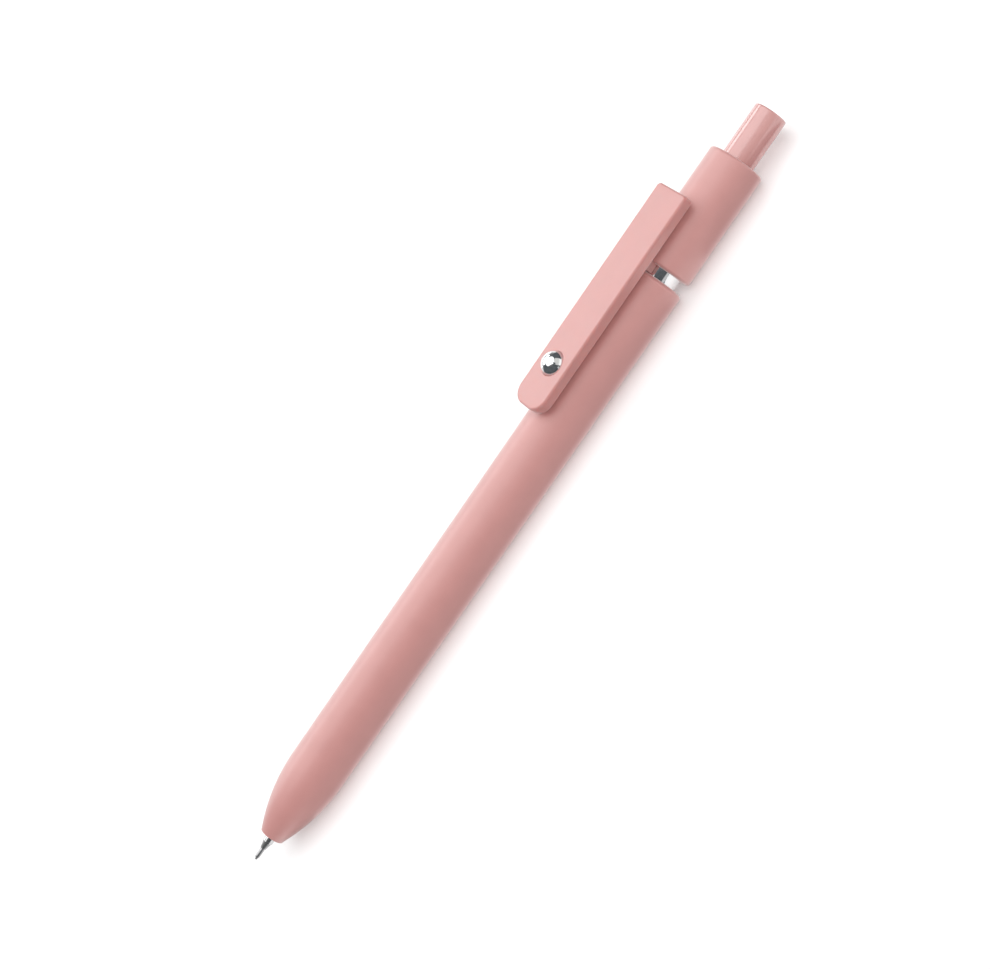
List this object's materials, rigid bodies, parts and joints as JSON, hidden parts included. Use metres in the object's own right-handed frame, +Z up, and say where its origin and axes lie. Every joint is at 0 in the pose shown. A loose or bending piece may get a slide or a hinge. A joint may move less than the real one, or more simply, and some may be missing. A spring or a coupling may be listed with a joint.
{
  "type": "gel pen",
  "caption": "Retractable gel pen with a slim round barrel, a bar clip holding a steel ball, a push button and a needle-point refill.",
  "frame": {"origin": "centre of the pen's length and width, at the lowest line of the barrel, where it would touch a table with the clip on top", "axes": "+X along the barrel towards the push button, +Z up through the clip, +Y across the clip"},
  "size_m": [0.1484, 0.01, 0.0147],
  "materials": {
    "soft_pink": "soft-touch, matt",
    "clip_pink": "satin",
    "gloss_pink": "polished",
    "chrome": "polished",
    "steel": "turned",
    "spring_steel": "drawn wire",
    "white_plastic": "moulded",
    "clear_plastic": "clear",
    "black_gel": "wet",
    "grease": "clear grease"
  },
  "bodies": {
    "upper_body": {"upper_barrel": "soft_pink", "clip_base": "clip_pink", "metal_ring": "chrome", "threaded_connector": "white_plastic", "cam_sleeve": "white_plastic", "return_spring": "spring_steel"},
    "lower_body": {"lower_barrel": "soft_pink"},
    "refill": {"refill_tube": "clear_plastic", "refill_end_plug": "white_plastic", "gel_ink": "black_gel", "ink_follower": "grease", "tip_holder": "white_plastic", "tip_body": "steel", "needle_tube": "steel", "writing_ball": "steel"},
    "button": {"push_button": "gloss_pink", "cam_plunger": "white_plastic"},
    "rotor": {"rotor": "white_plastic"},
    "clip_arm": {"clip_arm": "clip_pink"},
    "clip_ball": {"clip_ball": "chrome"}
  },
  "joints": [
    {"name": "refill_slide", "type": "slide", "parent": "upper_body", "child": "refill", "axis": [1, 0, 0], "range_m": [-0.001, 0.0058], "deforming": ["return_spring"]},
    {"name": "button_slide", "type": "slide", "parent": "upper_body", "child": "button", "axis": [1, 0, 0], "range_m": [-0.001, 0.0058]},
    {"name": "rotor_index", "type": "hinge", "parent": "refill", "child": "rotor", "pos_m": [0.05075, 0, 0.005], "axis": [1, 0, 0], "range_deg": [-8, 46]},
    {"name": "clip_flex", "type": "hinge", "parent": "upper_body", "child": "clip_arm", "pos_m": [0.04115, 0, 0.013], "axis": [0, 1, 0], "range_deg": [0, 5], "stiffness_Nm_per_rad": 0.3},
    {"name": "clip_ball_roll", "type": "hinge", "parent": "clip_arm", "child": "clip_ball", "pos_m": [0.02195, 0, 0.01235], "axis": [0, 1, 0], "continuous": true},
    {"name": "barrel_draw_off", "type": "slide", "parent": "upper_body", "child": "lower_body", "axis": [-1, 0, 0], "range_m": [0, 0.12]}
  ],
  "couplings": [
    {"joint": "button_slide", "follows": "refill_slide", "ratio": 1},
    {"joint": "rotor_index", "follows": "refill_slide", "rad_per_m": 135.41}
  ]
}
